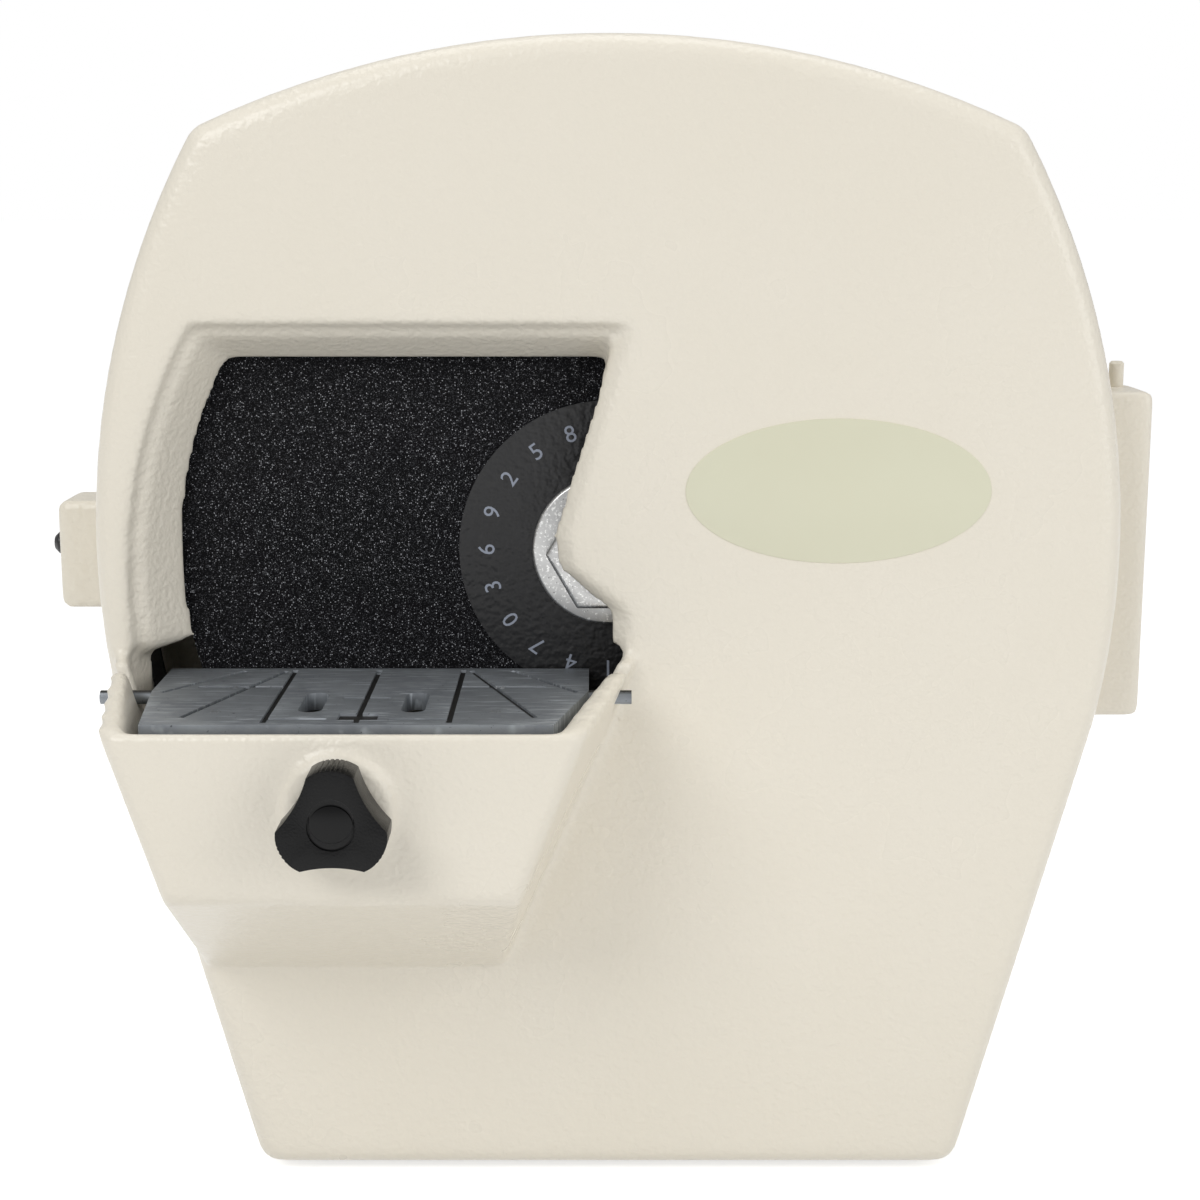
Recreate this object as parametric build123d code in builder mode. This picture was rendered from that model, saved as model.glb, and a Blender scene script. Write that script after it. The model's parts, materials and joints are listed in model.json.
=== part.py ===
from build123d import *
import os
from math import cos, sin, radians

# A dental model trimmer: a cast rear housing with an abrasive wheel on a motor shaft,
# and a hinged cast front door with the window, the trough and the tilting work table.
# Millimetres. X to the right, Y to the back, Z up. The pieces are drawn about the door seam,
# and the last lines move the origin to the bench under the middle of the whole machine.

# Housing outline, seen from the front
bench_z = -4.0
foot_height = 3.0
base_z = bench_z + foot_height
base_half = 127.0
side_low = (172.0, 166.0)
side_wide = (178.5, 228.0)
shoulder = (140.0, 371.0)
crown_z = 402.0
shoulder_radius = 8.5
wall = 5.0

# Depths along Y
door_gap = 0.3
door_depth = 45.0
gasket_thick = 2.5
gasket_width = 6.0
rear_depth = 40.0
rear_inset = 3.0
rear_wall = 6.0
door_edge_radius = 8.0

# Wheel and spindle
wheel_z = 225.0
wheel_radius = 152.4
wheel_plate_radius = 151.0
grit_thick = 2.0
plate_thick = 9.0
grit_face = -22.0
label_radius = 53.0
label_thick = 0.6
washer_radius = 26.8
washer_thick = 2.4
nut_flats = 38.0
nut_thick = 11.0
shaft_radius = 9.5
shaft_reach = 2.0
hub_radius = 30.0

# Door window: inner edge near the wheel and outer edge on the door face
window_end = -24.0
nut_pocket_radius = 33.0
nut_pocket_face = 6.0
window_low_left, window_low_right = -163.0, -4.0
window_inner = [(-132, 292), (0, 292), (-21, 233), (-19, 221), (-2, 206),
                (window_low_right, 172), (window_low_left, 172), (window_low_left, 189), (-146, 194)]
window_outer = [(-142, 305), (3, 305), (-19, 233), (-17, 221), (1, 206),
                (1, 168), (-168, 168), (-168, 189), (-165, 193)]
window_bevel = [(-142, 306), (10, 306), (-13, 233), (-11, 221), (8, 206),
                (5, 168), (-168, 168), (-168, 189), (-165, 193)]
bevel_depth = 5.0
nut_clear_radius = 60.0
window_arc_inner = (-148, 244)
window_arc_outer = (-163, 250)
flange_wall = 4.0

# Trough on the door
trough_reach = 70.0
trough_top = 181.0
trough_root_top = 192.0
trough_bottom = 125.5
trough_root_bottom = 74.0
trough_front_left, trough_front_right = -163.0, -7.0
trough_floor_left, trough_floor_right = -144.0, -28.0
trough_root_left, trough_root_right = -173.0, 12.0
trough_root_floor_left, trough_root_floor_right = -144.0, -39.0
trough_wall = 4.5
trough_edge = 6.0
trough_lift = 12.0

# Work table and its adjusting screw
axle_x = (window_low_left + window_low_right) / 2
table_left_gap, table_right_gap = 6.5, 2.8
table_x = axle_x + (table_left_gap - table_right_gap) / 2
table_gap = 2.5
table_back = grit_face - table_gap
table_depth = 81.5
table_front = table_back - table_depth
table_top = 182.0
table_thick = 6.0
table_half = (window_low_right - window_low_left - table_left_gap - table_right_gap) / 2
table_left_taper, table_right_taper = 5.5, 11.0
axle_radius = 2.4
axle_y = -55.0
axle_z = 178.8
axle_reach = 12.0
axle_half = (window_low_right - window_low_left) / 2 + axle_reach
axle_gap = 0.3
slot_rise = 16.0
groove_width = 2.0
groove_depth = 0.9
line_pitch = 30.0
slot_size = (8.0, 27.0)
slot_pitch = 34.0
arm_width = 24.0
arm_thick = 4.0
arm_drop = 34.0
screw_x, screw_z = -86.0, 157.0
screw_radius = 4.0
screw_gap = 0.5
knob_radius = 17.4
knob_waist = 13.0
lobe_half = 25.0
knob_thick = 14.0
knob_back_gap = 3.0
boss_radius = 18.0
boss_reach = 4.0

# Hinge on the right and catch on the left, both set out from the widest part of the outline
hinge_out = 8.5
hinge_x, hinge_y = side_wide[0] + hinge_out, 14.0
hinge_low, hinge_high = 161.0, 280.0
hinge_block_right = hinge_x + 7.7
hinge_block_left = side_wide[0]
hinge_corner = 8.0
hinge_block_back = 25.0
hinge_block_front = -13.0
hinge_root = side_low[0] - 2
hinge_pin_radius = 2.7
hinge_pin_top = 289.0
pin_gap = 0.05
knuckle_height = 18.0
knuckle_radius = 5.0
knuckle_centres = (192.0, 250.0)
knuckle_gap = 0.6
catch_low, catch_high = 198.0, 238.0
catch_left, catch_right = -side_wide[0] - 25.0, -side_low[0] + 2
catch_front, catch_back = 6.0, 34.0
tongue_z = 220.5
tongue_height = 18.0
tongue_left, tongue_right = -side_wide[0] - 5.5, -side_wide[0] + 0.3
tongue_back = 22.0
tongue_gap = 1.2
plunger_radius = 3.0
plunger_gap = 0.3
button_radius = 4.2
button_reach = 4.2
button_travel = 2.5
button_seat = 3.0

# Motor and base
motor_radius = 70.0
motor_length = 120.0
bell_length = 24.0
bell_flange_rim = 8.0
bell_flange_radius = motor_radius + bell_flange_rim
rib_count = 24
rib_height = 3.0
base_half_back = 95.0
base_back = 182.0
base_thick = 9.0
base_top = base_z + base_thick
cradle_foot, cradle_head = 78.0, 52.0
box_half, box_front, box_length, box_height = 30.0, 45.0, 70.0, 36.0
switch_half, switch_length, switch_deep = 10.3, 28.0, 12.0
gland_drop = 20.0
foot_radius = 13.0
foot_x, foot_front_y, foot_back_y = 88.0, 20.0, 166.0
foot_recess = 3.0
drain_x, drain_z = 104.0, 34.0
drain_radius = 16.0
drain_bore = 13.0
drain_reach = 34.0
inlet_x, inlet_z = -95.0, 352.0
inlet_radius = 5.0

# Places that follow from the sizes above
door_back = -door_gap
door_front = -door_depth
rear_front = gasket_thick
rear_back = rear_front + rear_depth
plate_back = grit_face + grit_thick + plate_thick
washer_front = grit_face - label_thick - washer_thick
nut_front = washer_front - nut_thick
shaft_front = nut_front - shaft_reach
shaft_clear_depth = -(shaft_front - 1.0)
trough_front = door_front - trough_reach
boss_front = trough_front - boss_reach
knob_back = boss_front - knob_back_gap
knob_front = knob_back - knob_thick
arm_front = table_front + 6.5
screw_tip = arm_front - screw_gap
motor_front = rear_back
motor_back = motor_front + 2 * bell_length + motor_length


def at_y(y):
    return Plane.XZ.offset(-y)


def body_outline(inset=0.0):
    low = side_low
    with BuildLine() as outline:
        Line((-base_half, base_z), (base_half, base_z))
        Line((base_half, base_z), low)
        ThreePointArc(low, side_wide, shoulder)
        ThreePointArc(shoulder, (0, crown_z), (-shoulder[0], shoulder[1]))
        ThreePointArc((-shoulder[0], shoulder[1]), (-side_wide[0], side_wide[1]), (-low[0], low[1]))
        Line((-low[0], low[1]), (-base_half, base_z))
    make_face(outline.edges())
    corners = [p for p in vertices() if abs(p.Y - shoulder[1]) < 1 or p.Y < base_z + 1]
    fillet(corners, shoulder_radius)
    if inset:
        offset(amount=-inset, kind=Kind.INTERSECTION, mode=Mode.REPLACE)


def window_face(points, arc_point, grow=0.0):
    with BuildLine() as outline:
        Polyline(*points)
        ThreePointArc(points[-1], arc_point, points[0])
    make_face(outline.edges())
    if grow:
        offset(amount=grow, kind=Kind.INTERSECTION, mode=Mode.REPLACE)


def disc(radius, y_front, y_back, x=0.0, z=wheel_z, bore=0.0):
    with BuildSketch(at_y(y_back)) as ring:
        with Locations((x, z)):
            Circle(radius)
            if bore:
                Circle(bore, mode=Mode.SUBTRACT)
    extrude(ring.sketch, amount=y_back - y_front)


def block(x1, x2, y1, y2, z1, z2, mode=Mode.ADD):
    with Locations(((x1 + x2) / 2, (y1 + y2) / 2, (z1 + z2) / 2)):
        Box(x2 - x1, y2 - y1, z2 - z1, mode=mode)


def trough_face(y, shrink, lift, corners):
    left, floor_left, floor_right, right, top, bottom = corners
    with BuildSketch(at_y(y)) as face:
        with BuildLine():
            Polyline((left + shrink, top + lift), (floor_left + shrink, bottom + shrink),
                     (floor_right - shrink, bottom + shrink), (right - shrink, top + lift), close=True)
        make_face()
    return face.sketch.face()


# Door forms that are merged into the casting
trough_root = (trough_root_left, trough_root_floor_left, trough_root_floor_right,
               trough_root_right, trough_root_top, trough_root_bottom)
trough_lip = (trough_front_left, trough_floor_left, trough_floor_right,
              trough_front_right, trough_top, trough_bottom)
with BuildPart() as trough_form:
    loft([trough_face(door_front + 4, 0, 0, trough_root),
          trough_face(trough_front, 0, 0, trough_lip)], ruled=True)
    front_face = trough_form.faces().sort_by(Axis.Y)[0]
    fillet(front_face.edges().sort_by(Axis.Z)[:-1], trough_edge)

with BuildPart() as trough_hollow:
    loft([trough_face(door_front + wall + 2, trough_wall, 1.0, trough_root),
          trough_face(trough_front + trough_wall, trough_wall, trough_lift, trough_lip)], ruled=True)

with BuildPart() as window_form:
    with BuildSketch(at_y(door_front + 1)):
        window_face(window_outer, window_arc_outer, flange_wall)
    with BuildSketch(at_y(window_end)):
        window_face(window_inner, window_arc_inner, flange_wall)
    loft(ruled=True)

with BuildPart() as window_hollow:
    with BuildSketch(at_y(door_front - 0.01)):
        window_face(window_outer, window_arc_outer)
    with BuildSketch(at_y(window_end + 0.01)):
        window_face(window_inner, window_arc_inner)
    loft(ruled=True)

# Soft edge that leads into the window on the right
with BuildPart() as window_lead:
    with BuildSketch(at_y(door_front - 0.01)):
        window_face(window_bevel, window_arc_outer)
    with BuildSketch(at_y(door_front + bevel_depth)):
        window_face(window_outer, window_arc_outer)
    loft(ruled=True)

# The flange runs back to the wheel and stays in front of the nut around the axis
with BuildPart() as window_flange:
    add(window_form.part)
    with BuildSketch(at_y(0)):
        with Locations((0, wheel_z)):
            Circle(nut_clear_radius)
    extrude(amount=shaft_clear_depth, mode=Mode.SUBTRACT)

# Front door casting: shell, flanged window, trough, hinge block and catch tongue
with BuildPart() as front_door:
    with BuildSketch(at_y(door_back)):
        body_outline()
    extrude(amount=door_back - door_front)
    fillet(front_door.faces().sort_by(Axis.Y)[0].edges(), door_edge_radius)
    with BuildSketch(at_y(door_back)):
        body_outline(wall)
    extrude(amount=door_back - door_front - wall, mode=Mode.SUBTRACT)
    add(window_flange.part)
    add(trough_form.part)
    disc(boss_radius, boss_front, trough_front + 2, screw_x, screw_z)
    add(window_hollow.part, mode=Mode.SUBTRACT)
    add(window_lead.part, mode=Mode.SUBTRACT)
    add(trough_hollow.part, mode=Mode.SUBTRACT)
    with BuildSketch(at_y(door_back)):
        with Locations((0, wheel_z)):
            Circle(nut_pocket_radius)
    extrude(amount=door_back - door_front - nut_pocket_face, mode=Mode.SUBTRACT)
    for side in (-1, 1):
        with BuildSketch(Plane.YZ.offset(axle_x + side * axle_half - side * 12)):
            with Locations((axle_y, axle_z)):
                Circle(axle_radius + axle_gap)
            with Locations((axle_y, axle_z + slot_rise / 2)):
                Rectangle(2 * (axle_radius + axle_gap), slot_rise)
        extrude(amount=16, both=True, mode=Mode.SUBTRACT)
    with BuildSketch(at_y(trough_front + 12)):
        with Locations((screw_x, screw_z)):
            Circle(screw_radius + axle_gap)
    extrude(amount=30, mode=Mode.SUBTRACT)
    block(hinge_root, hinge_block_right, hinge_block_front, -4, hinge_low, hinge_high)
    block(hinge_block_left, hinge_block_right, -5, hinge_block_back, hinge_low, hinge_high)
    uprights = front_door.edges().filter_by(Axis.Z).filter_by(
        lambda e: e.center().X > hinge_block_left - 1 and e.length > 100)
    fillet(uprights.sort_by(Axis.Y)[-2:], hinge_corner)
    for z in knuckle_centres:
        half = knuckle_height / 2 + knuckle_gap
        block(hinge_block_left - 1, hinge_x + knuckle_radius + 1.2, hinge_y - knuckle_radius - 1,
              hinge_block_back + 1, z - half, z + half, Mode.SUBTRACT)
    with Locations((hinge_x, hinge_y, (hinge_low + hinge_high) / 2)):
        Cylinder(hinge_pin_radius + pin_gap, hinge_high - hinge_low + 2, mode=Mode.SUBTRACT)
    block(tongue_left, -side_wide[0] + 3.5, -16, -4, tongue_z - tongue_height / 2,
          tongue_z + tongue_height / 2)
    block(tongue_left, tongue_right, -5, tongue_back, tongue_z - tongue_height / 2,
          tongue_z + tongue_height / 2)
front_door.part.label = "front_door"

# Rear housing casting: shell, wheel hub boss, hinge knuckles and catch box
with BuildPart() as rear_housing:
    with BuildSketch(at_y(rear_back)):
        body_outline(rear_inset)
    extrude(amount=rear_depth)
    fillet(rear_housing.faces().sort_by(Axis.Y)[-1].edges(), 6.0)
    with BuildSketch(at_y(rear_back - rear_wall)):
        body_outline(rear_inset + wall)
    extrude(amount=rear_depth, mode=Mode.SUBTRACT)
    disc(hub_radius, plate_back + 14, rear_back - 1)
    for z in knuckle_centres:
        low, high = z - knuckle_height / 2, z + knuckle_height / 2
        block(hinge_root - 2, hinge_x, hinge_y - knuckle_radius + 0.5, hinge_y + knuckle_radius - 0.5,
              low, high)
        with Locations((hinge_x, hinge_y, z)):
            Cylinder(knuckle_radius, knuckle_height)
            Cylinder(hinge_pin_radius + pin_gap, knuckle_height + 2, mode=Mode.SUBTRACT)
    block(catch_left, catch_right, catch_front, catch_back, catch_low, catch_high)
    boxed = rear_housing.edges().filter_by(lambda e: e.center().X < catch_left + 0.1)
    fillet(boxed, 3.0)
    block(tongue_left - tongue_gap, tongue_right + tongue_gap + 0.4, catch_front - 1,
          tongue_back + 3, tongue_z - tongue_height / 2 - 2, tongue_z + tongue_height / 2 + 2,
          Mode.SUBTRACT)
    with BuildSketch(Plane.YZ.offset(catch_left - 1)):
        with Locations(((catch_front + catch_back) / 2, tongue_z)):
            Circle(plunger_radius + plunger_gap)
    extrude(amount=tongue_left - catch_left, mode=Mode.SUBTRACT)
    with BuildSketch(Plane.YZ.offset(catch_left - 1)):
        with Locations(((catch_front + catch_back) / 2, tongue_z)):
            Circle(button_radius + plunger_gap)
    extrude(amount=1 + button_seat + button_travel + plunger_gap, mode=Mode.SUBTRACT)
    with BuildSketch(at_y(rear_back + 1)):
        with Locations((0, wheel_z)):
            Circle(shaft_radius + 8)
        with Locations((drain_x, drain_z)):
            Circle(drain_bore)
        with Locations((inlet_x, inlet_z)):
            Circle(inlet_radius - 1)
    extrude(amount=rear_depth + 2, mode=Mode.SUBTRACT)
rear_housing.part.label = "rear_housing"

# Soft seal in the door seam
with BuildPart() as door_gasket:
    with BuildSketch(at_y(gasket_thick)):
        body_outline(rear_inset)
        with BuildSketch(mode=Mode.SUBTRACT):
            body_outline(rear_inset + gasket_width)
    extrude(amount=gasket_thick)
door_gasket.part.label = "door_gasket"

# Spindle: shaft, wheel plate, grit face, centre label, washer and nut
with BuildPart() as motor_shaft:
    disc(shaft_radius, shaft_front, motor_back - 6)
    disc(hub_radius - 6, plate_back, plate_back + 8)
    chamfer(motor_shaft.faces().sort_by(Axis.Y)[0].edges(), 1.2)
motor_shaft.part.label = "motor_shaft"

with BuildPart() as wheel_plate:
    disc(wheel_plate_radius, grit_face + grit_thick, plate_back, bore=shaft_radius)
    chamfer(wheel_plate.faces().sort_by(Axis.Y)[-1].edges(), 1.5)
wheel_plate.part.label = "wheel_plate"

with BuildPart() as abrasive_disc:
    disc(wheel_radius, grit_face, grit_face + grit_thick, bore=shaft_radius)
abrasive_disc.part.label = "abrasive_disc"

with BuildPart() as centre_label:
    disc(label_radius, grit_face - label_thick, grit_face, bore=shaft_radius)
centre_label.part.label = "centre_label"

with BuildPart() as wheel_washer:
    disc(washer_radius, washer_front, grit_face - label_thick, bore=shaft_radius)
    chamfer(wheel_washer.faces().sort_by(Axis.Y)[0].outer_wire().edges(), 0.8)
wheel_washer.part.label = "wheel_washer"

with BuildPart() as wheel_nut:
    with BuildSketch(at_y(washer_front)):
        with Locations((0, wheel_z)):
            RegularPolygon(nut_flats / 2, 6, major_radius=False)
            Circle(shaft_radius, mode=Mode.SUBTRACT)
    extrude(amount=nut_thick)
    chamfer(wheel_nut.faces().sort_by(Axis.Y)[0].outer_wire().edges(), 1.0)
wheel_nut.part.label = "wheel_nut"

with BuildPart() as shaft_seal:
    disc(shaft_radius + 7.6, plate_back + 16, rear_back - 0.2, bore=shaft_radius + 0.4)
shaft_seal.part.label = "shaft_seal"

# Work table with scribed guide lines, gauge slots, axle stubs and adjusting arm
with BuildPart() as work_table:
    with BuildSketch(Plane.XY.offset(table_top - table_thick)):
        with BuildLine():
            Polyline((table_x - table_half, table_back), (table_x + table_half, table_back),
                     (table_x + table_half, axle_y - 4),
                     (table_x + table_half - table_right_taper, table_front),
                     (table_x - table_half + table_left_taper, table_front),
                     (table_x - table_half, axle_y - 4), close=True)
        make_face()
        with Locations((table_x, (table_front + axle_y) / 2 + 5)):
            with GridLocations(slot_pitch, 1, 2, 1):
                SlotOverall(slot_size[1], slot_size[0], rotation=90, mode=Mode.SUBTRACT)
    extrude(amount=table_thick)
    with BuildSketch(Plane.XY.offset(table_top - groove_depth)):
        for i in (-1, 0, 1):
            with Locations((table_x + i * line_pitch, (table_back + table_front) / 2)):
                Rectangle(groove_width, table_depth - 6)
        for side in (-1, 1):
            for start, turn, length in ((33, 20, 72), (48, 35, 40)):
                angle = radians(turn)
                with Locations((table_x + side * (start + sin(angle) * length / 2),
                                table_back - 4 - cos(angle) * length / 2)):
                    Rectangle(groove_width, length, rotation=side * turn)
            with Locations((table_x + side * 45, axle_y + 2)):
                Rectangle(30, groove_width)
            with Locations((table_x + side * 20, table_front + 8)):
                Rectangle(20, groove_width)
        with Locations((table_x, axle_y - 14)):
            Rectangle(16, groove_width)
        with Locations((table_x, table_front + 11)):
            Rectangle(13, 8)
    extrude(amount=groove_depth, mode=Mode.SUBTRACT)
    with BuildSketch(Plane.XY.offset(table_top - 3)):
        with Locations((table_x, table_back - 5)):
            with GridLocations(48, 1, 3, 1):
                Circle(1.2)
    extrude(amount=3, mode=Mode.SUBTRACT)
    for side in (-1, 1):
        stub_root, stub_tip = table_x + side * (table_half - 4), axle_x + side * axle_half
        with Locations(Location(((stub_root + stub_tip) / 2, axle_y, axle_z), (0, 90, 0))):
            Cylinder(axle_radius, abs(stub_tip - stub_root))
    block(screw_x - arm_width / 2, screw_x + arm_width / 2, arm_front, arm_front + arm_thick,
          table_top - table_thick - arm_drop, table_top - table_thick + 0.5)
work_table.part.label = "work_table"

# Adjusting screw and its three-lobed knob
with BuildPart() as table_screw:
    disc(screw_radius, knob_back - 8, screw_tip, screw_x, screw_z)
    chamfer(table_screw.faces().sort_by(Axis.Y)[-1].edges(), 1.2)
table_screw.part.label = "table_screw"


def lobe_point(angle, radius):
    return (screw_x + radius * cos(radians(angle)), screw_z + radius * sin(radians(angle)))


with BuildPart() as table_knob:
    with BuildSketch(at_y(knob_back)):
        with BuildLine():
            for centre in (90, 210, 330):
                first = lobe_point(centre - lobe_half, knob_radius)
                last = lobe_point(centre + lobe_half, knob_radius)
                ThreePointArc(first, lobe_point(centre, knob_radius + 0.8), last)
                following = lobe_point(centre + 120 - lobe_half, knob_radius)
                ThreePointArc(last, lobe_point(centre + 60, knob_waist), following)
        make_face()
        for centre in (90, 210, 330):
            for step in range(-4, 5):
                with Locations(lobe_point(centre + step * lobe_half / 5, knob_radius + 1.0)):
                    RegularPolygon(0.6, 4, mode=Mode.SUBTRACT)
    extrude(amount=knob_thick)
    with BuildSketch(at_y(knob_front + 1.0)):
        with Locations((screw_x, screw_z)):
            Circle(7.6)
            Circle(6.9, mode=Mode.SUBTRACT)
    extrude(amount=1.5, mode=Mode.SUBTRACT)
    with BuildSketch(at_y(knob_back)):
        with Locations((screw_x, screw_z)):
            Circle(screw_radius + 0.1)
    extrude(amount=8.2, mode=Mode.SUBTRACT)
table_knob.part.label = "table_knob"

# Hinge pin, catch plunger
with BuildPart() as hinge_pin:
    with Locations((hinge_x, hinge_y, (hinge_low + 3 + hinge_pin_top) / 2)):
        Cylinder(hinge_pin_radius, hinge_pin_top - hinge_low - 3)
    chamfer(hinge_pin.faces().sort_by(Axis.Z)[-1].edges(), 0.8)
hinge_pin.part.label = "hinge_pin"

catch_mid = (catch_front + catch_back) / 2
button_tip = catch_left - button_reach
plunger_end = tongue_left - button_travel - plunger_gap
with BuildPart() as catch_button:
    with BuildSketch(Plane.YZ.offset(button_tip)):
        with Locations((catch_mid, tongue_z)):
            Circle(button_radius)
    extrude(amount=button_reach + button_seat)
    chamfer(catch_button.faces().sort_by(Axis.X)[0].edges(), 0.4 * button_radius)
    with BuildSketch(Plane.YZ.offset(catch_left + button_seat)):
        with Locations((catch_mid, tongue_z)):
            Circle(plunger_radius)
    extrude(amount=plunger_end - catch_left - button_seat)
catch_button.part.label = "catch_button"

# Motor: bells, ribbed barrel, terminal box, switch and cord gland
with BuildPart() as motor_front_bell:
    disc(bell_flange_radius, motor_front, motor_front + 7, bore=shaft_radius + 1)
    disc(motor_radius, motor_front + 6, motor_front + bell_length, bore=shaft_radius + 1)
    chamfer(motor_front_bell.faces().sort_by(Axis.Y)[0].outer_wire().edges(), 1.0)
motor_front_bell.part.label = "motor_front_bell"

with BuildPart() as motor_barrel:
    with BuildSketch(at_y(motor_front + bell_length + motor_length)):
        with Locations((0, wheel_z)):
            Circle(motor_radius)
            with PolarLocations(motor_radius, rib_count):
                Rectangle(2 * rib_height, 3.0)
            Circle(shaft_radius + 2, mode=Mode.SUBTRACT)
    extrude(amount=motor_length)
motor_barrel.part.label = "motor_barrel"

with BuildPart() as motor_rear_bell:
    disc(motor_radius, motor_back - bell_length, motor_back)
    chamfer(motor_rear_bell.faces().sort_by(Axis.Y)[-1].edges(), 8.0)
    with BuildSketch(at_y(motor_back - bell_length)):
        with Locations((0, wheel_z)):
            Circle(shaft_radius + 2)
    extrude(amount=-(bell_length - 4), mode=Mode.SUBTRACT)
    with BuildSketch(at_y(motor_back)):
        with Locations((0, wheel_z)):
            with PolarLocations(40, 12):
                Rectangle(22, 5)
    extrude(amount=4, mode=Mode.SUBTRACT)
motor_rear_bell.part.label = "motor_rear_bell"

with BuildPart() as motor_through_bolts:
    with BuildSketch(at_y(motor_front + 7)):
        with Locations((0, wheel_z)):
            with PolarLocations(bell_flange_radius - bell_flange_rim / 2, 4, 45):
                RegularPolygon(3.5, 6)
    extrude(amount=-4)
motor_through_bolts.part.label = "flange_bolts"

box_back = motor_front + box_front + box_length
box_top = wheel_z + motor_radius + box_height
rocker_z = box_top - 3
rocker_y = motor_front + box_front + box_length / 2
with BuildPart() as terminal_box:
    block(-box_half, box_half, motor_front + box_front, box_back,
          wheel_z + motor_radius + rib_height + 0.1, box_top)
    fillet(terminal_box.edges().filter_by(Axis.Z), 5.0)
    chamfer(terminal_box.faces().sort_by(Axis.Z)[-1].edges(), 2.0)
    block(-switch_half, switch_half, rocker_y - switch_length / 2, rocker_y + switch_length / 2,
          box_top - switch_deep, box_top + 1, Mode.SUBTRACT)
terminal_box.part.label = "terminal_box"

with BuildPart() as power_rocker:
    with BuildSketch(Plane.YZ.offset(-9.5)):
        with BuildLine():
            Polyline((rocker_y - 13, rocker_z + 6), (rocker_y - 12, rocker_z - 3),
                     (rocker_y, rocker_z - 7), (rocker_y + 12, rocker_z - 3),
                     (rocker_y + 13, rocker_z + 3), (rocker_y, rocker_z + 4), close=True)
        make_face()
    extrude(amount=19)
power_rocker.part.label = "power_rocker"

with BuildPart() as cord_gland:
    disc(9, box_back, box_back + 4, 0, box_top - gland_drop, bore=4)
    disc(7, box_back + 4, box_back + 15, 0, box_top - gland_drop, bore=4)
cord_gland.part.label = "cord_gland"

# Base casting with a cradle under the motor, and rubber feet
cradle_front = motor_front + bell_length + 20
cradle_back = motor_front + bell_length + motor_length - 20
with BuildPart() as motor_base:
    block(-base_half_back, base_half_back, rear_back, base_back, base_z, base_top)
    fillet(motor_base.edges().filter_by(Axis.Z), 14.0)
    with BuildSketch(at_y(cradle_back)):
        with BuildLine():
            Polyline((-cradle_foot, base_top - 1), (cradle_foot, base_top - 1),
                     (cradle_head, wheel_z - 30), (-cradle_head, wheel_z - 30), close=True)
        make_face()
        with Locations((0, wheel_z)):
            Circle(motor_radius + rib_height + 0.4, mode=Mode.SUBTRACT)
        with Locations((0, 72)):
            Rectangle(84, 84, mode=Mode.SUBTRACT)
    extrude(amount=cradle_back - cradle_front)
    with BuildSketch(Plane.XY.offset(base_z)):
        with Locations((-foot_x + 12, foot_back_y), (foot_x - 12, foot_back_y)):
            Circle(foot_radius + 0.05)
    extrude(amount=foot_recess, mode=Mode.SUBTRACT)
motor_base.part.label = "motor_base"

with BuildPart() as rubber_feet:
    with BuildSketch(Plane.XY.offset(bench_z)):
        with Locations((-foot_x, foot_front_y), (foot_x, foot_front_y)):
            Circle(foot_radius)
    extrude(amount=foot_height + rear_inset)
    with BuildSketch(Plane.XY.offset(bench_z)):
        with Locations((-foot_x + 12, foot_back_y), (foot_x - 12, foot_back_y)):
            Circle(foot_radius)
    extrude(amount=foot_height + foot_recess)
rubber_feet.part.label = "rubber_feet"

# Water side: drain spout, inlet barb, spray pipe over the wheel
with BuildPart() as drain_spout:
    disc(drain_radius + 6, rear_back, rear_back + 4, drain_x, drain_z, bore=drain_bore)
    disc(drain_radius, rear_back + 4, rear_back + drain_reach, drain_x, drain_z, bore=drain_bore)
drain_spout.part.label = "drain_spout"

with BuildPart() as water_inlet:
    disc(10, rear_back, rear_back + 5, inlet_x, inlet_z, bore=inlet_radius - 2)
    disc(inlet_radius, rear_back + 5, rear_back + 26, inlet_x, inlet_z, bore=inlet_radius - 2)
    for y in (15, 23):
        disc(inlet_radius + 0.8, rear_back + y, rear_back + y + 2, inlet_x, inlet_z,
             bore=inlet_radius - 2)
water_inlet.part.label = "water_inlet"

spray_front = grit_face - 8
with BuildPart() as spray_pipe:
    with BuildLine() as spray_line:
        FilletPolyline((inlet_x, rear_back - rear_wall, inlet_z), (inlet_x, spray_front, inlet_z),
                       (inlet_x + 130, spray_front, inlet_z + 12), radius=8)
    with BuildSketch(Plane(spray_line.line @ 0, z_dir=spray_line.line % 0)):
        Circle(inlet_radius - 1.2)
    sweep()
spray_pipe.part.label = "spray_pipe"

pieces = [front_door, rear_housing, door_gasket, motor_shaft, wheel_plate, abrasive_disc,
          centre_label, wheel_washer, wheel_nut, shaft_seal, work_table, table_screw, table_knob,
          hinge_pin, catch_button, motor_front_bell, motor_barrel, motor_rear_bell,
          motor_through_bolts, terminal_box, power_rocker, cord_gland, motor_base, rubber_feet,
          drain_spout, water_inlet, spray_pipe]

# The origin is moved under the middle of the overall box
middle_x = (button_tip + hinge_block_right) / 2
middle_y = (knob_front + motor_back) / 2
to_origin = Location((-middle_x, -middle_y, -bench_z))
os.makedirs("parts", exist_ok=True)
for piece in pieces:
    placed = piece.part.moved(to_origin)
    placed.label = piece.part.label
    export_step(placed, "parts/" + placed.label + ".step")
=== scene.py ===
import json
from math import cos, pi, radians, sin

import bmesh
import bpy
from mathutils import Matrix, Vector

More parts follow.
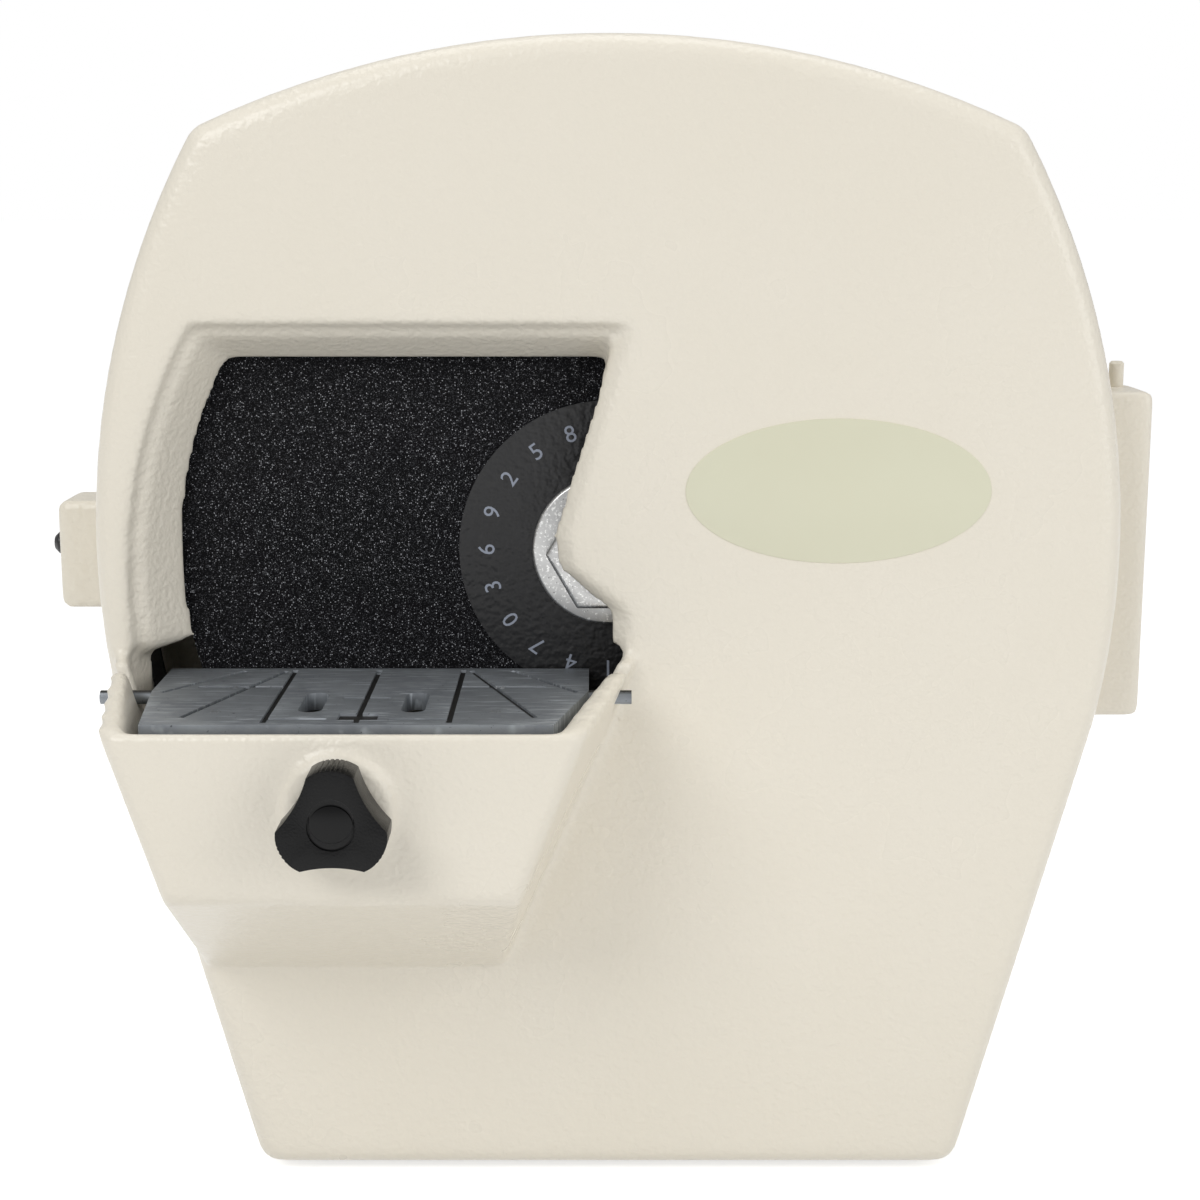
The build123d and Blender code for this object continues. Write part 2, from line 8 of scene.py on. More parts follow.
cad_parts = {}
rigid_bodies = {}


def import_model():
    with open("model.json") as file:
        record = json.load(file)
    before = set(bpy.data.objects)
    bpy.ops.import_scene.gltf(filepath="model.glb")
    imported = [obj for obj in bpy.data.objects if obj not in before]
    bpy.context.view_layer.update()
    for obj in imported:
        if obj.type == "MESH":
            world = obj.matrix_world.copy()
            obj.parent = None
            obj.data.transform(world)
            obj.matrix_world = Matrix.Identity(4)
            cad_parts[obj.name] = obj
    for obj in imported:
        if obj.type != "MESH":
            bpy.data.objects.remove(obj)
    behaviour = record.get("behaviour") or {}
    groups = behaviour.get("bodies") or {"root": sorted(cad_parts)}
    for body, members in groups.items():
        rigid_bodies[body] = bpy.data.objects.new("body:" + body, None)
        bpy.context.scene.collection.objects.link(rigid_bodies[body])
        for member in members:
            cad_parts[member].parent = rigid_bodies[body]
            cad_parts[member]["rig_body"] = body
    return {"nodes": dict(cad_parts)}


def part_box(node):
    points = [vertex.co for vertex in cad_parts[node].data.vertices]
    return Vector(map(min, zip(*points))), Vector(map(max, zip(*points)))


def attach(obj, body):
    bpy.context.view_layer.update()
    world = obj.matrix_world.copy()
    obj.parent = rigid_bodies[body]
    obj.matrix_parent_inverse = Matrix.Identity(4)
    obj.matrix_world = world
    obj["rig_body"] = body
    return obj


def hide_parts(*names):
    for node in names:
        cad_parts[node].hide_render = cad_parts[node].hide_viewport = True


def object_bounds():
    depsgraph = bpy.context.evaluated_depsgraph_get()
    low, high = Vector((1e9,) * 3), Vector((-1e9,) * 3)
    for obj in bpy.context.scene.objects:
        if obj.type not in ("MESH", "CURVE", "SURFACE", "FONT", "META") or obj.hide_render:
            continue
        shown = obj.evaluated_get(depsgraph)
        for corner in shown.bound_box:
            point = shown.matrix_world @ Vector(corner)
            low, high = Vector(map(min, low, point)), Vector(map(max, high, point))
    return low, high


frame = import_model()
cadLow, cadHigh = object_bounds()
mm = 0.001

# Places read from the frame
wheelLow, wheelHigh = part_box("abrasive_disc")
wheelCentre = (wheelLow + wheelHigh) / 2
tableLow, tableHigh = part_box("work_table")
knobLow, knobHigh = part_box("table_knob")
knobCentre = (knobLow + knobHigh) / 2
seamX, axisZ = wheelCentre.x, wheelCentre.z
doorDepth = 45 * mm
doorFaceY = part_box("door_gasket")[0].y - doorDepth


def linkPiece(name, mesh):
    piece = bpy.data.objects.new(name, mesh)
    bpy.context.scene.collection.objects.link(piece)
    return piece


def meshFrom(bm, name):
    mesh = bpy.data.meshes.new(name)
    bm.to_mesh(mesh)
    bm.free()
    return mesh


def smoothByAngle(mesh, angle):
    bm = bmesh.new()
    bm.from_mesh(mesh)
    for face in bm.faces:
        face.smooth = True
    for edge in bm.edges:
        edge.smooth = not (edge.is_manifold and edge.calc_face_angle(0) > radians(angle))
    bm.to_mesh(mesh)
    bm.free()


def mergedCopy(nodeName):
    bm = bmesh.new()
    bm.from_mesh(frame["nodes"][nodeName].data)
    bmesh.ops.remove_doubles(bm, verts=bm.verts, dist=0.008 * mm)
    return bm


def applied(piece):
    bpy.context.view_layer.update()
    mesh = bpy.data.meshes.new_from_object(piece.evaluated_get(bpy.context.evaluated_depsgraph_get()))
    piece.modifiers.clear()
    piece.data = mesh
    return piece


def dressNode(piece, nodeName, material):
    piece.data.materials.clear()
    piece.data.materials.append(material)
    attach(piece, frame["nodes"][nodeName]["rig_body"])
    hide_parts(nodeName)
    return piece


def castPiece(name, nodeName, casting, material):
    # a sand casting has no sharp edge, so the solid gets one even skin that is then rubbed round
    piece = linkPiece(name, meshFrom(mergedCopy(nodeName), name))
    skin = piece.modifiers.new("skin", "REMESH")
    skin.mode = "VOXEL"
    skin.voxel_size = casting["voxel"]
    rub = piece.modifiers.new("rub", "SMOOTH")
    rub.factor = 0.5
    rub.iterations = casting["rubs"]
    applied(piece)
    thin = piece.modifiers.new("thin", "DECIMATE")
    thin.ratio = min(1.0, casting["triangles"] / (2.0 * len(piece.data.polygons)))
    applied(piece)
    for polygon in piece.data.polygons:
        polygon.use_smooth = True
    return dressNode(piece, nodeName, material)


def machinedPiece(name, nodeName, edge, material, angle=30):
    # a turned, milled or moulded part keeps its faces and loses its sharp corners
    bm = mergedCopy(nodeName)
    bmesh.ops.dissolve_limit(bm, angle_limit=radians(0.6), verts=bm.verts, edges=bm.edges)
    corners = [e for e in bm.edges if e.is_manifold and e.calc_face_angle(0) > radians(angle)]
    bmesh.ops.bevel(bm, geom=corners, offset=edge, offset_type="OFFSET", segments=2, profile=0.5,
                    affect="EDGES", clamp_overlap=True, material=-1)
    bmesh.ops.triangulate(bm, faces=[f for f in bm.faces if len(f.verts) > 4])
    piece = linkPiece(name, meshFrom(bm, name))
    smoothByAngle(piece.data, angle)
    return dressNode(piece, nodeName, material)


# Shader node groups that several finishes share


def newGroup(name, inputs, outputs):
    group = bpy.data.node_groups.new(name, "ShaderNodeTree")
    for label, kind, default in inputs:
        socket = group.interface.new_socket(label, in_out="INPUT", socket_type=kind)
        if default is not None:
            socket.default_value = default
    for label, kind in outputs:
        group.interface.new_socket(label, in_out="OUTPUT", socket_type=kind)
    return group, group.nodes.new("NodeGroupInput"), group.nodes.new("NodeGroupOutput")


def addNode(tree, kind, **settings):
    node = tree.nodes.new(kind)
    for key, value in settings.items():
        setattr(node, key, value)
    return node


def noiseNode(tree, coordinates, scaleSocket, detail=2.0, roughness=0.5):
    noise = addNode(tree, "ShaderNodeTexNoise")
    noise.inputs["Detail"].default_value = detail
    noise.inputs["Roughness"].default_value = roughness
    tree.links.new(coordinates, noise.inputs["Vector"])
    if isinstance(scaleSocket, (int, float)):
        noise.inputs["Scale"].default_value = scaleSocket
    else:
        tree.links.new(scaleSocket, noise.inputs["Scale"])
    return noise


def mathNode(tree, operation, first, second=None, clamp=False):
    node = addNode(tree, "ShaderNodeMath", operation=operation, use_clamp=clamp)
    for index, value in enumerate((first, second)):
        if value is None:
            continue
        if isinstance(value, (int, float)):
            node.inputs[index].default_value = value
        else:
            tree.links.new(value, node.inputs[index])
    return node.outputs[0]


def rangeNode(tree, value, low, high, toLow=0.0, toHigh=1.0):
    node = addNode(tree, "ShaderNodeMapRange", clamp=True)
    tree.links.new(value, node.inputs["Value"])
    for label, number in (("From Min", low), ("From Max", high), ("To Min", toLow), ("To Max", toHigh)):
        node.inputs[label].default_value = number
    return node.outputs["Result"]


def mixColour(tree, factor, first, second):
    mix = addNode(tree, "ShaderNodeMix", data_type="RGBA")
    tree.links.new(factor, mix.inputs["Factor"])
    for index, value in ((6, first), (7, second)):
        if isinstance(value, (tuple, list)):
            mix.inputs[index].default_value = (*value, 1.0)
        else:
            tree.links.new(value, mix.inputs[index])
    return mix.outputs[2]


def makeMottleGroup():
    # cloudy colour change over a few centimetres, with fine dirt specks
    group, inputs, outputs = newGroup("mottle", [("Vector", "NodeSocketVector", None),
        ("Cloud Scale", "NodeSocketFloat", 20.0), ("Speck Scale", "NodeSocketFloat", 300.0),
        ("Speck Level", "NodeSocketFloat", 0.78)],
        [("Cloud", "NodeSocketFloat"), ("Specks", "NodeSocketFloat")])
    cloud = noiseNode(group, inputs.outputs["Vector"], inputs.outputs["Cloud Scale"], 4.0, 0.6)
    group.links.new(rangeNode(group, cloud.outputs["Fac"], 0.3, 0.7), outputs.inputs["Cloud"])
    speck = noiseNode(group, inputs.outputs["Vector"], inputs.outputs["Speck Scale"], 3.0, 0.7)
    above = mathNode(group, "SUBTRACT", speck.outputs["Fac"], inputs.outputs["Speck Level"])
    group.links.new(mathNode(group, "MULTIPLY", above, 18.0, clamp=True), outputs.inputs["Specks"])
    return group


def makeHammerGroup():
    # rounded dimples of a sprayed finish as a height, with a finer ripple over them
    group, inputs, outputs = newGroup("hammer", [("Vector", "NodeSocketVector", None),
        ("Dimple Scale", "NodeSocketFloat", 300.0), ("Ripple", "NodeSocketFloat", 0.3)],
        [("Height", "NodeSocketFloat")])
    dimple = noiseNode(group, inputs.outputs["Vector"], inputs.outputs["Dimple Scale"], 1.0, 0.4)
    fineScale = mathNode(group, "MULTIPLY", inputs.outputs["Dimple Scale"], 3.1)
    fine = noiseNode(group, inputs.outputs["Vector"], fineScale, 1.0, 0.4)
    ripple = mathNode(group, "MULTIPLY", fine.outputs["Fac"], inputs.outputs["Ripple"])
    group.links.new(mathNode(group, "ADD", rangeNode(group, dimple.outputs["Fac"], 0.35, 0.65), ripple),
                    outputs.inputs["Height"])
    return group


def makeScratchGroup():
    # fine lines along one axis, made by stretching a noise
    group, inputs, outputs = newGroup("scratches", [("Vector", "NodeSocketVector", None),
        ("Stretch", "NodeSocketVector", (1.0, 1.0, 1.0)), ("Level", "NodeSocketFloat", 0.6)],
        [("Mask", "NodeSocketFloat")])
    scaled = addNode(group, "ShaderNodeVectorMath", operation="MULTIPLY")
    group.links.new(inputs.outputs["Vector"], scaled.inputs[0])
    group.links.new(inputs.outputs["Stretch"], scaled.inputs[1])
    lines = noiseNode(group, scaled.outputs["Vector"], 1.0, 3.0, 0.65)
    above = mathNode(group, "SUBTRACT", lines.outputs["Fac"], inputs.outputs["Level"])
    group.links.new(mathNode(group, "MULTIPLY", above, 9.0, clamp=True), outputs.inputs["Mask"])
    return group


mottleGroup = makeMottleGroup()
hammerGroup = makeHammerGroup()
scratchGroup = makeScratchGroup()


def startMaterial(name):
    material = bpy.data.materials.new(name)
    material.use_nodes = True
    tree = material.node_tree
    shader = tree.nodes["Principled BSDF"]
    coordinates = addNode(tree, "ShaderNodeTexCoord").outputs["Object"]
    return material, tree, shader, coordinates


def useGroup(tree, group, coordinates, **values):
    node = addNode(tree, "ShaderNodeGroup", node_tree=group)
    tree.links.new(coordinates, node.inputs["Vector"])
    for label, value in values.items():
        node.inputs[label.replace("_", " ")].default_value = value
    return node.outputs


def bumpInto(tree, shader, height, strength, distance):
    bump = addNode(tree, "ShaderNodeBump")
    bump.inputs["Strength"].default_value = strength
    bump.inputs["Distance"].default_value = distance
    tree.links.new(height, bump.inputs["Height"])
    tree.links.new(bump.outputs["Normal"], shader.inputs["Normal"])


def enamel(name, colour, shade, dimpleScale, dimpleDepth, chips):
    material, tree, shader, coordinates = startMaterial(name)
    mottle = useGroup(tree, mottleGroup, coordinates, Cloud_Scale=9.0, Speck_Scale=420.0,
                      Speck_Level=0.80 - chips)
    hammer = useGroup(tree, hammerGroup, coordinates, Dimple_Scale=dimpleScale, Ripple=0.25)
    base = mixColour(tree, mottle["Cloud"], colour, shade)
    tree.links.new(mixColour(tree, mottle["Specks"], base, (0.12, 0.10, 0.08)), shader.inputs["Base Color"])
    tree.links.new(rangeNode(tree, mottle["Cloud"], 0.0, 1.0, 0.24, 0.34), shader.inputs["Roughness"])
    bumpInto(tree, shader, hammer["Height"], 0.55, dimpleDepth)
    return material


def bareMetal(name, colour, dark, roughness, stretch, stain, grainScale=900.0, grainDepth=0.00006,
              metallic=0.85, grooveShadeBelow=None):
    material, tree, shader, coordinates = startMaterial(name)
    mottle = useGroup(tree, mottleGroup, coordinates, Cloud_Scale=stain, Speck_Scale=700.0, Speck_Level=0.66)
    scratches = useGroup(tree, scratchGroup, coordinates, Stretch=stretch, Level=0.55)
    grain = noiseNode(tree, coordinates, grainScale, 2.0, 0.6)
    base = mixColour(tree, mottle["Cloud"], colour, dark)
    scored = mixColour(tree, scratches["Mask"], base, tuple(min(1.0, 1.5 * c) for c in colour))
    wearAndGrooveShade = mixColour(tree, mottle["Specks"], scored, tuple(0.35 * c for c in dark))
    if grooveShadeBelow is not None:
        # painted shade: what lies under the milled top and faces up, such as a groove's floor, is painted
        # dark to stand for the shade in the groove
        height = addNode(tree, "ShaderNodeSeparateXYZ")
        tree.links.new(coordinates, height.inputs["Vector"])
        deep = rangeNode(tree, height.outputs["Z"], grooveShadeBelow - 0.5 * mm, grooveShadeBelow - 0.15 * mm, 1.0, 0.0)
        facing = addNode(tree, "ShaderNodeSeparateXYZ")
        tree.links.new(addNode(tree, "ShaderNodeNewGeometry").outputs["Normal"], facing.inputs["Vector"])
        deep = mathNode(tree, "MULTIPLY", deep, rangeNode(tree, facing.outputs["Z"], 0.6, 0.9))
        # the near-black colour here is painted shade in the recesses, mixed over the real specks of wear
        wearAndGrooveShade = mixColour(tree, deep, wearAndGrooveShade, (0.035, 0.034, 0.032))
    tree.links.new(wearAndGrooveShade, shader.inputs["Base Color"])
    shader.inputs["Metallic"].default_value = metallic
    tree.links.new(rangeNode(tree, mottle["Cloud"], 0.0, 1.0, roughness, roughness + 0.18),
                   shader.inputs["Roughness"])
    bumpInto(tree, shader, mathNode(tree, "ADD", grain.outputs["Fac"], scratches["Mask"]), 0.5, grainDepth)
    return material


def mouldedPlastic(name, colour, roughness, grainScale, grainDepth, capRadius=0.0, centre=None):
    material, tree, shader, coordinates = startMaterial(name)
    mottle = useGroup(tree, mottleGroup, coordinates, Cloud_Scale=60.0, Speck_Scale=900.0, Speck_Level=0.72)
    grain = noiseNode(tree, coordinates, grainScale, 1.0, 0.5)
    height = grain.outputs["Fac"]
    rough = rangeNode(tree, mottle["Cloud"], 0.0, 1.0, roughness, roughness + 0.1)
    if capRadius:
        # the disc in the middle of the knob is polished, the rest is spark grained
        offset = addNode(tree, "ShaderNodeVectorMath", operation="SUBTRACT")
        offset.inputs[1].default_value = (centre.x, 0.0, centre.z)
        tree.links.new(coordinates, offset.inputs[0])
        flat = addNode(tree, "ShaderNodeVectorMath", operation="MULTIPLY")
        flat.inputs[1].default_value = (1.0, 0.0, 1.0)
        tree.links.new(offset.outputs["Vector"], flat.inputs[0])
        far = addNode(tree, "ShaderNodeVectorMath", operation="LENGTH")
        tree.links.new(flat.outputs["Vector"], far.inputs[0])
        outside = rangeNode(tree, far.outputs["Value"], capRadius, capRadius + 0.2 * mm)
        height = mathNode(tree, "MULTIPLY", height, outside)
        rough = mathNode(tree, "ADD", mathNode(tree, "MULTIPLY", outside, 0.10), 0.22)
        shader.inputs["Specular IOR Level"].default_value = 0.22
    paler = tuple(c * 3.0 + 0.01 for c in colour)
    tree.links.new(mixColour(tree, mottle["Specks"], colour, paler), shader.inputs["Base Color"])
    tree.links.new(rough, shader.inputs["Roughness"])
    bumpInto(tree, shader, height, 0.7, grainDepth)
    return material


def makeGrainGroup():
    # loose sharp grains: each cell has its own height, and some of them get a mask for a painted glint, pale
    # colour standing for light caught by their facets
    group, inputs, outputs = newGroup("grains", [("Vector", "NodeSocketVector", None),
        ("Grain Scale", "NodeSocketFloat", 1000.0), ("Bright From", "NodeSocketFloat", 0.8)],
        [("PaintedGlint", "NodeSocketFloat"), ("Height", "NodeSocketFloat"), ("Tone", "NodeSocketFloat")])
    grains = addNode(group, "ShaderNodeTexVoronoi", feature="F1")
    group.links.new(inputs.outputs["Vector"], grains.inputs["Vector"])
    group.links.new(inputs.outputs["Grain Scale"], grains.inputs["Scale"])
    random = addNode(group, "ShaderNodeSeparateColor")
    group.links.new(grains.outputs["Color"], random.inputs["Color"])
    above = mathNode(group, "SUBTRACT", random.outputs["Red"], inputs.outputs["Bright From"])
    glint = mathNode(group, "MULTIPLY", above, 5.0, clamp=True)
    core = rangeNode(group, grains.outputs["Distance"], 0.15, 0.45, 1.0, 0.0)
    # painted glint mask: the brightest grains, strongest at the cell's core
    group.links.new(mathNode(group, "MULTIPLY", glint, core), outputs.inputs["PaintedGlint"])
    group.links.new(mathNode(group, "SUBTRACT", random.outputs["Red"], grains.outputs["Distance"]),
                    outputs.inputs["Height"])
    group.links.new(random.outputs["Green"], outputs.inputs["Tone"])
    return group


grainGroup = makeGrainGroup()


def gritFinish(name):
    material, tree, shader, coordinates = startMaterial(name)
    coarse = useGroup(tree, grainGroup, coordinates, Grain_Scale=1800.0, Bright_From=0.74)
    fine = useGroup(tree, grainGroup, coordinates, Grain_Scale=2900.0, Bright_From=0.46)
    tone = mixColour(tree, coarse["Tone"], (0.0015, 0.0015, 0.002), (0.006, 0.006, 0.0075))
    # painted glints: fine grains get a grey and coarse grains a pale grey base colour, standing for light
    # caught by their facets
    paintedFineGlint = mixColour(tree, mathNode(tree, "MULTIPLY", fine["PaintedGlint"], 0.8), tone, (0.17, 0.175, 0.19))
    tree.links.new(mixColour(tree, coarse["PaintedGlint"], paintedFineGlint, (0.60, 0.61, 0.65)), shader.inputs["Base Color"])
    tree.links.new(rangeNode(tree, coarse["Tone"], 0.0, 1.0, 0.5, 0.9), shader.inputs["Roughness"])
    bumpInto(tree, shader, mathNode(tree, "ADD", coarse["Height"], fine["Height"]), 0.8, 0.0003)
    shader.inputs["Specular IOR Level"].default_value = 0.12
    return material


print("materials")
creamEnamel = enamel("creamEnamel", (0.845, 0.795, 0.690), (0.830, 0.778, 0.668), 480.0, 0.00022, 0.0)
creamRear = enamel("creamEnamelRear", (0.83, 0.78, 0.67), (0.81, 0.755, 0.64), 300.0, 0.0004, 0.005)
motorEnamel = enamel("motorEnamel", (0.17, 0.175, 0.18), (0.13, 0.135, 0.14), 500.0, 0.00015, 0.02)
tableMetal = bareMetal("tableAluminium", (0.33, 0.355, 0.38), (0.20, 0.215, 0.235), 0.42,
                       (60.0, 900.0, 60.0), 38.0, metallic=0.55, grooveShadeBelow=tableHigh.z)
turnedSteel = bareMetal("turnedSteel", (0.62, 0.62, 0.61), (0.45, 0.45, 0.45), 0.24,
                        (900.0, 60.0, 900.0), 60.0, 1400.0, 0.00002)
castWheel = bareMetal("castWheelPlate", (0.42, 0.43, 0.44), (0.30, 0.31, 0.32), 0.4, (50.0, 50.0, 50.0), 30.0)
turnedBrass = bareMetal("turnedBrass", (0.62, 0.43, 0.18), (0.45, 0.30, 0.12), 0.28,
                        (700.0, 60.0, 700.0), 70.0)
knobCapRadius = 6.9 * mm
knobPlastic = mouldedPlastic("knobPlastic", (0.002, 0.002, 0.0022), 0.30, 1500.0, 0.0002,
                             knobCapRadius, knobCentre)
blackPlastic = mouldedPlastic("blackPlastic", (0.012, 0.012, 0.013), 0.30, 1600.0, 0.0001)
blackRubber = mouldedPlastic("blackRubber", (0.02, 0.02, 0.02), 0.62, 800.0, 0.0003)
pipePlastic = mouldedPlastic("pipePlastic", (0.16, 0.165, 0.17), 0.42, 700.0, 0.0002)
labelResin = mouldedPlastic("labelResin", (0.011, 0.011, 0.012), 0.42, 420.0, 0.0009)
grit = gritFinish("siliconCarbideGrit")


print("castings")
castings = [
    ("doorCasting", "front_door", {"voxel": 1.6 * mm, "rubs": 14, "triangles": 185000}, creamEnamel),
    ("housingCasting", "rear_housing", {"voxel": 2.0 * mm, "rubs": 5, "triangles": 120000}, creamRear),
    ("baseCasting", "motor_base", {"voxel": 2.0 * mm, "rubs": 5, "triangles": 60000}, creamRear),
]
for pieceName, nodeName, casting, material in castings:
    castPiece(pieceName, nodeName, casting, material)

print("machined parts")
machinedParts = [
    ("tablePlate", "work_table", 0.35, tableMetal, "cast_aluminium", 30),
    ("knobBody", "table_knob", 0.2, knobPlastic, "black_plastic", 35),
    ("nutBody", "wheel_nut", 0.4, turnedSteel, "bright_steel", 25),
    ("washerBody", "wheel_washer", 0.3, turnedSteel, "bright_steel", 30),
    ("shaftBody", "motor_shaft", 0.3, turnedSteel, "bright_steel", 30),
    ("screwBody", "table_screw", 0.2, turnedSteel, "bright_steel", 30),
    ("wheelPlateBody", "wheel_plate", 0.5, castWheel, "cast_aluminium", 30),
    ("catchDome", "catch_button", 0.25, blackPlastic, "black_plastic", 30),
    ("frontBell", "motor_front_bell", 0.6, motorEnamel, "motor_grey", 30),
    ("barrelBody", "motor_barrel", 0.5, motorEnamel, "motor_grey", 30),
    ("rearBell", "motor_rear_bell", 0.5, motorEnamel, "motor_grey", 30),
    ("terminalCover", "terminal_box", 0.6, creamRear, "cream_enamel", 30),
    ("rockerBody", "power_rocker", 0.6, blackPlastic, "black_plastic", 20),
    ("glandBody", "cord_gland", 0.5, blackPlastic, "black_plastic", 30),
    ("drainBody", "drain_spout", 0.5, pipePlastic, "pvc_grey", 30),
    ("inletBody", "water_inlet", 0.2, turnedBrass, "brass", 30),
    ("boltHeads", "flange_bolts", 0.3, turnedSteel, "bright_steel", 30),
]
for partName, nodeName, edge, material, slotName, angle in machinedParts:
    machinedPiece(partName, nodeName, edge * mm, material, angle)

# These nodes are right as they are and only get their finish
plainFinishes = {
    "abrasive_disc": grit, "centre_label": labelResin, "door_gasket": blackRubber,
    "shaft_seal": blackRubber, "rubber_feet": blackRubber, "hinge_pin": creamRear,
    "spray_pipe": turnedBrass,
}
for nodeName, material in plainFinishes.items():
    node = frame["nodes"][nodeName]
    node.data.materials.clear()
    node.data.materials.append(material)


# The bare oval plate on the door's face
print("door plate")
ovalPlate = {"centre": (79 * mm, 24 * mm), "halfWidth": 52.5 * mm, "halfHeight": 25 * mm, "thick": 0.35 * mm}


def makeOvalPlate(plate):
    material, tree, shader, coordinates = startMaterial("ovalFoil")
    mottle = useGroup(tree, mottleGroup, coordinates, Cloud_Scale=30.0, Speck_Scale=900.0, Speck_Level=0.82)
    foil = mixColour(tree, mottle["Cloud"], (0.735, 0.725, 0.560), (0.725, 0.712, 0.545))
    tree.links.new(foil, shader.inputs["Base Color"])
    shader.inputs["Roughness"].default_value = 0.3
    hammer = useGroup(tree, hammerGroup, coordinates, Dimple_Scale=310.0, Ripple=0.1)
    bumpInto(tree, shader, hammer["Height"], 0.12, 0.0001)
    bm = bmesh.new()
    bmesh.ops.create_circle(bm, cap_ends=True, segments=96, radius=1.0)
    bmesh.ops.scale(bm, vec=(plate["halfWidth"], plate["halfHeight"], 1.0), verts=bm.verts)
    grown = bmesh.ops.extrude_face_region(bm, geom=list(bm.faces))
    top = [v for v in grown["geom"] if isinstance(v, bmesh.types.BMVert)]
    bmesh.ops.translate(bm, vec=(0, 0, plate["thick"]), verts=top)
    rim = [e for e in bm.edges if all(v.co.z > plate["thick"] / 2 for v in e.verts)]
    bmesh.ops.bevel(bm, geom=rim, offset=plate["thick"] * 0.6, segments=2, profile=0.5,
                    affect="EDGES", material=-1)
    bmesh.ops.recalc_face_normals(bm, faces=bm.faces)
    x, z = plate["centre"]
    place = Matrix.Translation((seamX + x, doorFaceY, axisZ + z)) @ Matrix.Rotation(pi / 2, 4, "X")
    bmesh.ops.transform(bm, matrix=place, verts=bm.verts)
    piece = linkPiece("ovalPlate", meshFrom(bm, "ovalPlate"))
    smoothByAngle(piece.data, 30)
    piece.data.materials.append(material)
    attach(piece, "door")
    return piece


makeOvalPlate(ovalPlate)


# Plain numbers: stencilled on the wheel's centre ring and stamped beside the table's guide lines
print("numbers")


def makeDigits(name, text, size, depth, place, material, body):
    curve = bpy.data.curves.new(name, "FONT")
    curve.body = text
    curve.size = size
    curve.extrude = depth
    curve.align_x = "CENTER"
    curve.align_y = "CENTER"
    curve.resolution_u = 3
    holder = linkPiece(name + "Text", curve)
    bpy.context.view_layer.update()
    mesh = bpy.data.meshes.new_from_object(holder.evaluated_get(bpy.context.evaluated_depsgraph_get()))
    bpy.data.objects.remove(holder)
    mesh.transform(place)
    piece = linkPiece(name, mesh)
    piece.data.materials.clear()
    piece.data.materials.append(material)
    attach(piece, body)
    return piece


stencilPaint = mouldedPlastic("stencilPaint", (0.30, 0.33, 0.40), 0.55, 500.0, 0.0003)
stampedMetal = bareMetal("stampedMetal", (0.40, 0.41, 0.42), (0.28, 0.29, 0.30), 0.4,
                         (60.0, 60.0, 60.0), 50.0)
ringDigits = {"radius": 43 * mm, "size": 8.5 * mm, "count": 20, "raised": 0.05 * mm}
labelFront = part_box("centre_label")[0].y
for index in range(ringDigits["count"]):
    turn = 2 * pi * index / ringDigits["count"]
    place = (Matrix.Translation((wheelCentre.x, labelFront - 0.01 * mm, wheelCentre.z))
             @ Matrix.Rotation(pi / 2, 4, "X") @ Matrix.Rotation(-turn, 4, "Z")
             @ Matrix.Translation((0, ringDigits["radius"], 0)))
    digit = str((index * 3 + 1) % 10)
    makeDigits("ringDigit%02d" % index, digit, ringDigits["size"], ringDigits["raised"], place,
               stencilPaint, "spindle")

tableDigits = {"size": 4.2 * mm, "raised": 0.08 * mm,
               "marks": [("30", -46, 64), ("15", -46, 30), ("15", 46, 30), ("30", 46, 64)]}
tableCentre = (tableLow + tableHigh) / 2
for index, (text, across, along) in enumerate(tableDigits["marks"]):
    place = Matrix.Translation((tableCentre.x + across * mm, tableHigh.y - along * mm, tableHigh.z))
    makeDigits("tableDigits%d" % index, text, tableDigits["size"], tableDigits["raised"], place,
               stampedMetal, "table")


print("stage")


stageSetup = {"floorSize": 30.0, "floorGlow": 0.6, "worldLight": 0.48}


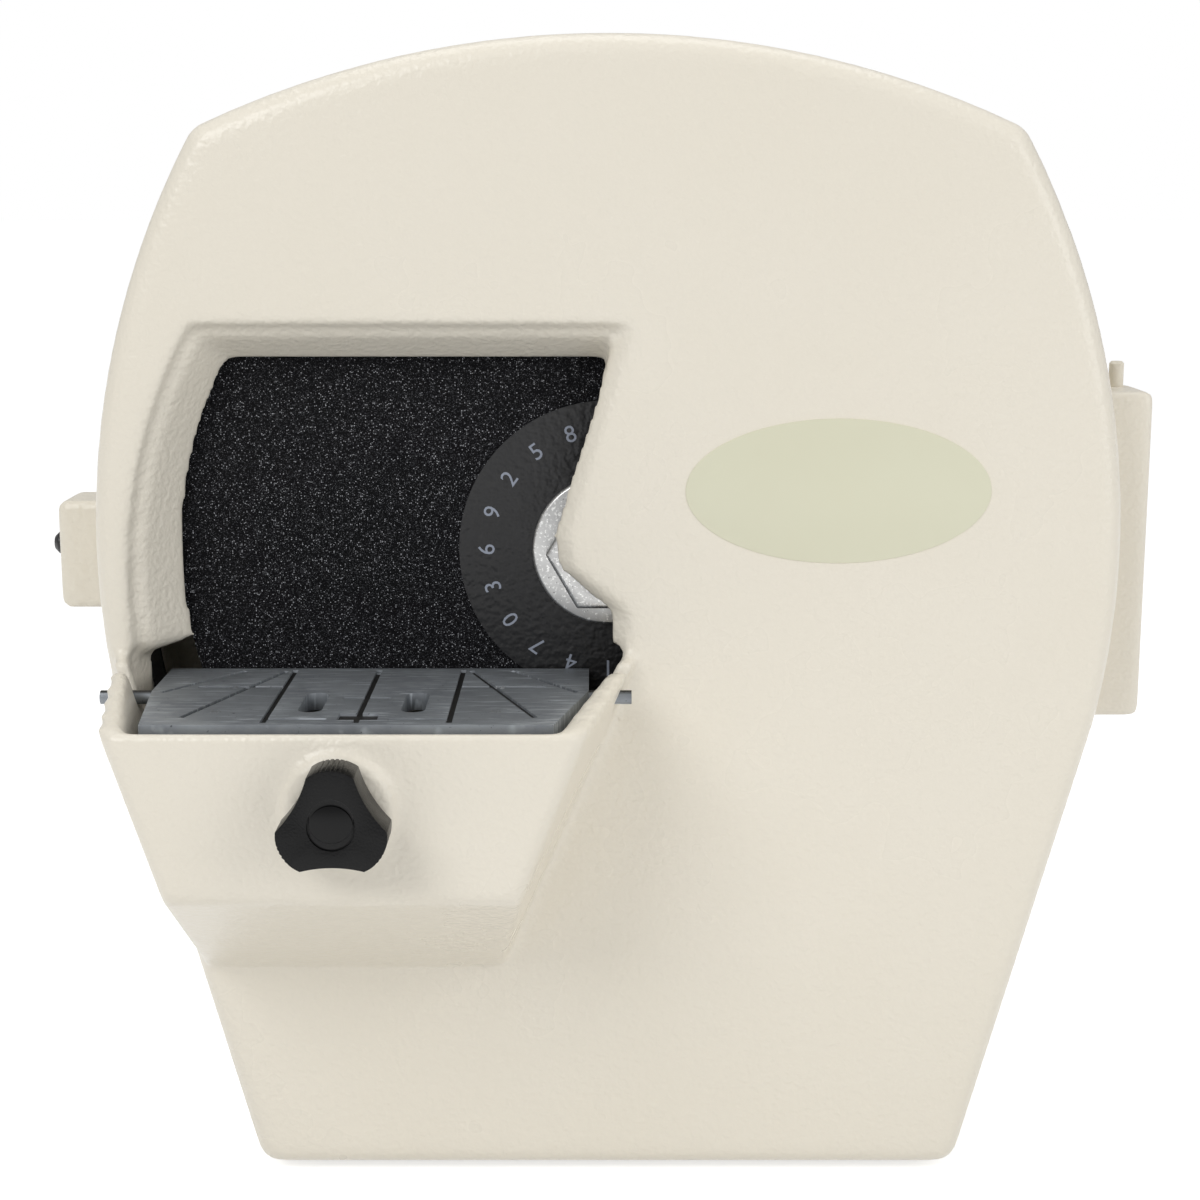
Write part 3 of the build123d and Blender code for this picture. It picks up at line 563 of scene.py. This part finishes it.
def makeStage(setup):
    material, tree, shader, coordinates = startMaterial("paleFloor")
    shader.inputs["Base Color"].default_value = (0.86, 0.86, 0.86, 1.0)
    shader.inputs["Roughness"].default_value = 0.9
    bm = bmesh.new()
    bmesh.ops.create_grid(bm, x_segments=1, y_segments=1, size=setup["floorSize"])
    bmesh.ops.translate(bm, vec=(0, 0, cadLow.z), verts=bm.verts)
    floor = linkPiece("floor", meshFrom(bm, "floor"))
    floor.data.materials.append(material)
    # the camera and mirrors see the floor as white where no shadow lies on it
    rays = addNode(tree, "ShaderNodeLightPath")
    seen = mathNode(tree, "MAXIMUM", rays.outputs["Is Camera Ray"], rays.outputs["Is Glossy Ray"])
    shader.inputs["Emission Color"].default_value = (1.0, 1.0, 1.0, 1.0)
    tree.links.new(mathNode(tree, "MULTIPLY", seen, setup["floorGlow"]), shader.inputs["Emission Strength"])
    world = bpy.data.worlds.new("studio")
    bpy.context.scene.world = world
    world.use_nodes = True
    nodes, links = world.node_tree.nodes, world.node_tree.links
    background = nodes["Background"]
    background.inputs["Color"].default_value = (1.0, 1.0, 1.0, 1.0)
    rays = nodes.new("ShaderNodeLightPath")
    seen = nodes.new("ShaderNodeMath")
    seen.operation = "MAXIMUM"
    links.new(rays.outputs["Is Camera Ray"], seen.inputs[0])
    links.new(rays.outputs["Is Transmission Ray"], seen.inputs[1])
    strength = nodes.new("ShaderNodeMapRange")
    strength.inputs["To Min"].default_value = setup["worldLight"]
    strength.inputs["To Max"].default_value = 1.0
    links.new(seen.outputs[0], strength.inputs["Value"])
    links.new(strength.outputs["Result"], background.inputs["Strength"])


def addSoftbox(name, position, aim, size, power):
    lamp = bpy.data.lights.new(name, "AREA")
    lamp.shape = "RECTANGLE"
    lamp.size, lamp.size_y = size
    lamp.energy = power
    holder = bpy.data.objects.new(name, lamp)
    holder.location = position
    holder.rotation_euler = (Vector(aim) - Vector(position)).to_track_quat("-Z", "Y").to_euler()
    bpy.context.scene.collection.objects.link(holder)


cameraSetup = {"elevation": 11.0, "distance": 0.72, "lens": 62.3,
               "aim": (seamX - 2.9 * mm, doorFaceY, axisZ - 14 * mm)}


def addCamera(setup):
    camera = bpy.data.cameras.new("camera")
    camera.lens = setup["lens"]
    camera.sensor_width = 36.0
    camera.clip_start = 0.02
    holder = bpy.data.objects.new("camera", camera)
    tilt = radians(setup["elevation"])
    back = Vector((0.0, -cos(tilt), sin(tilt)))
    holder.location = Vector(setup["aim"]) + setup["distance"] * back
    holder.rotation_euler = back.to_track_quat("Z", "Y").to_euler()
    bpy.context.scene.collection.objects.link(holder)
    bpy.context.scene.camera = holder


makeStage(stageSetup)
addCamera(cameraSetup)
lampAim = (0.0, 0.0, 0.2)
addSoftbox("keyLamp", (-0.9, -1.3, 1.3), lampAim, (0.9, 0.9), 11.0)
addSoftbox("fillLamp", (1.2, -1.0, 0.8), lampAim, (0.8, 1.2), 6.0)
addSoftbox("topLamp", (0.0, 0.2, 1.6), lampAim, (1.2, 0.8), 5.0)
bpy.context.scene.view_settings.view_transform = "Standard"
